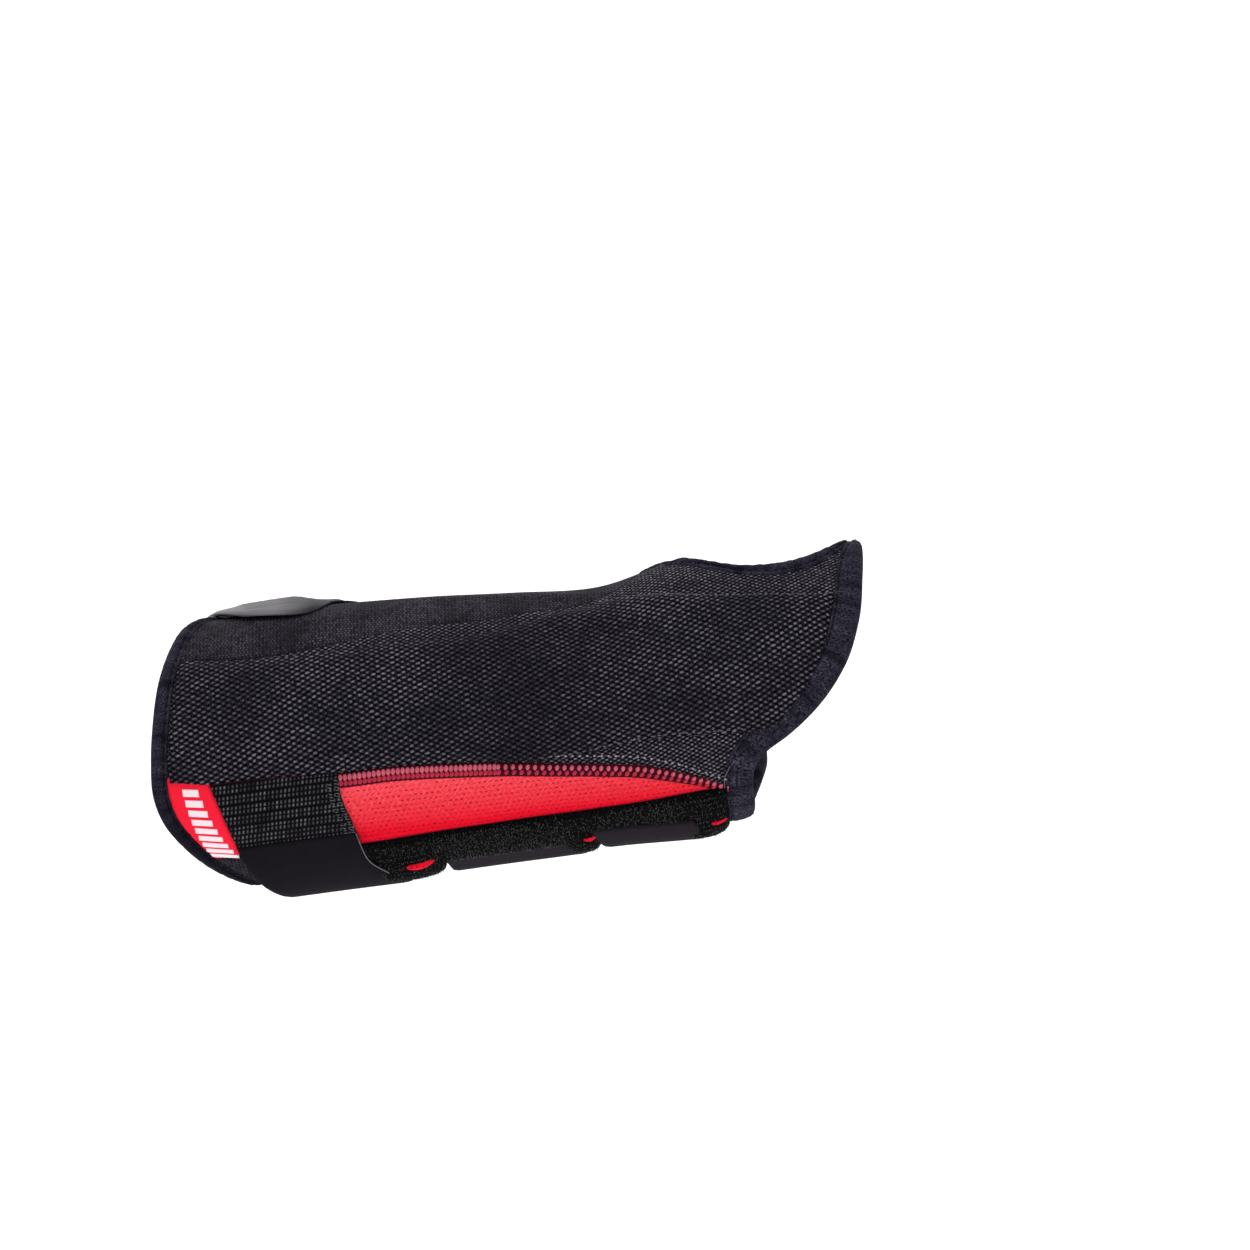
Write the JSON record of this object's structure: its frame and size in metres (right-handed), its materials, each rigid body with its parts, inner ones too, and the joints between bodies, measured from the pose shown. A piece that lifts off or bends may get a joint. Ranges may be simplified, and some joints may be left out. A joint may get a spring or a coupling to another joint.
{
  "type": "wrist guard",
  "caption": "Left-hand wrist guard: mesh sleeve with a palmar stay pocket, thumb hole and dorsal gap, closed by hook-and-loop straps that peel up and swing clear.",
  "frame": {"origin": "centre of the forearm opening, on the arm's axis", "axes": "+X from the forearm to the fingers, +Z to the thumb side, -Y to the palm side, +Y to the back of the hand"},
  "size_m": [0.1988, 0.0696, 0.0847],
  "materials": {
    "liner_cloth": "soft smooth lining",
    "black_mesh": "open mesh",
    "black_knit": "fine rib knit",
    "red_mesh": "spacer mesh",
    "binding_tape": "folded stretch tape",
    "stay_aluminium": "plain",
    "stay_cap": "dipped",
    "woven_pocket": "coarse weave with light specks",
    "spring_steel": "plain",
    "loop_pile": "brushed loop",
    "thread": "thread",
    "white_print": "printed",
    "ribbed_elastic": "ribbed elastic",
    "strap_cloth": "smooth matte laminate",
    "hook_plastic": "moulded hooks",
    "tab_rubber": "smooth grey rubber"
  },
  "bodies": {
    "sleeve": {"inner_liner": "liner_cloth", "palmar_panel": "black_mesh", "radial_panel": "black_knit", "ulnar_panel": "red_mesh", "dorsal_ulnar_flap": "black_knit", "dorsal_radial_flap": "black_knit", "forearm_binding": "binding_tape", "palm_binding": "binding_tape", "thumb_binding": "binding_tape", "ulnar_edge_binding": "binding_tape", "radial_edge_binding": "binding_tape", "palmar_stay": "stay_aluminium", "palmar_stay_caps": "stay_cap", "palmar_stay_pocket": "woven_pocket", "dorsal_ulnar_stay": "spring_steel", "dorsal_ulnar_stay_pocket": "woven_pocket", "dorsal_radial_stay": "spring_steel", "radial_loop_landing": "loop_pile", "ulnar_loop_band": "loop_pile", "ulnar_stitching": "thread", "sizing_bars": "white_print", "proximal_elastic": "ribbed_elastic", "proximal_strap_root": "strap_cloth", "middle_strap_root": "strap_cloth", "distal_strap_root": "strap_cloth"},
    "proximal_strap_body": {"proximal_strap": "strap_cloth"},
    "proximal_end_body": {"proximal_strap_end": "strap_cloth", "proximal_hook_pad": "hook_plastic", "proximal_pull_tab": "tab_rubber"},
    "middle_strap_body": {"middle_strap": "strap_cloth"},
    "middle_end_body": {"middle_strap_end": "strap_cloth", "middle_hook_pad": "hook_plastic", "middle_pull_tab": "tab_rubber"},
    "distal_strap_body": {"distal_strap": "strap_cloth"},
    "distal_end_body": {"distal_strap_end": "strap_cloth", "distal_hook_pad": "hook_plastic", "distal_pull_tab": "tab_rubber"}
  },
  "joints": [
    {"name": "proximal_swing", "type": "hinge", "parent": "sleeve", "child": "proximal_strap_body", "pos_m": [0.05, 0.0176, -0.03835], "axis": [-1, 0, 0], "range_deg": [0, 110]},
    {"name": "proximal_peel", "type": "hinge", "parent": "proximal_strap_body", "child": "proximal_end_body", "pos_m": [0.0445, 0.03283, 0.02003], "axis": [-1, 0, 0], "range_deg": [0, 100]},
    {"name": "middle_swing", "type": "hinge", "parent": "sleeve", "child": "middle_strap_body", "pos_m": [0.0995, 0.01615, -0.03756], "axis": [-1, 0, 0], "range_deg": [0, 110]},
    {"name": "middle_peel", "type": "hinge", "parent": "middle_strap_body", "child": "middle_end_body", "pos_m": [0.097, 0.03022, 0.01851], "axis": [-1, 0, 0], "range_deg": [0, 100]},
    {"name": "distal_swing", "type": "hinge", "parent": "sleeve", "child": "distal_strap_body", "pos_m": [0.137, 0.01579, -0.03667], "axis": [-1, 0, 0], "range_deg": [0, 110]},
    {"name": "distal_peel", "type": "hinge", "parent": "distal_strap_body", "child": "distal_end_body", "pos_m": [0.133, 0.02914, 0.01747], "axis": [-1, 0, 0], "range_deg": [0, 100]}
  ]
}
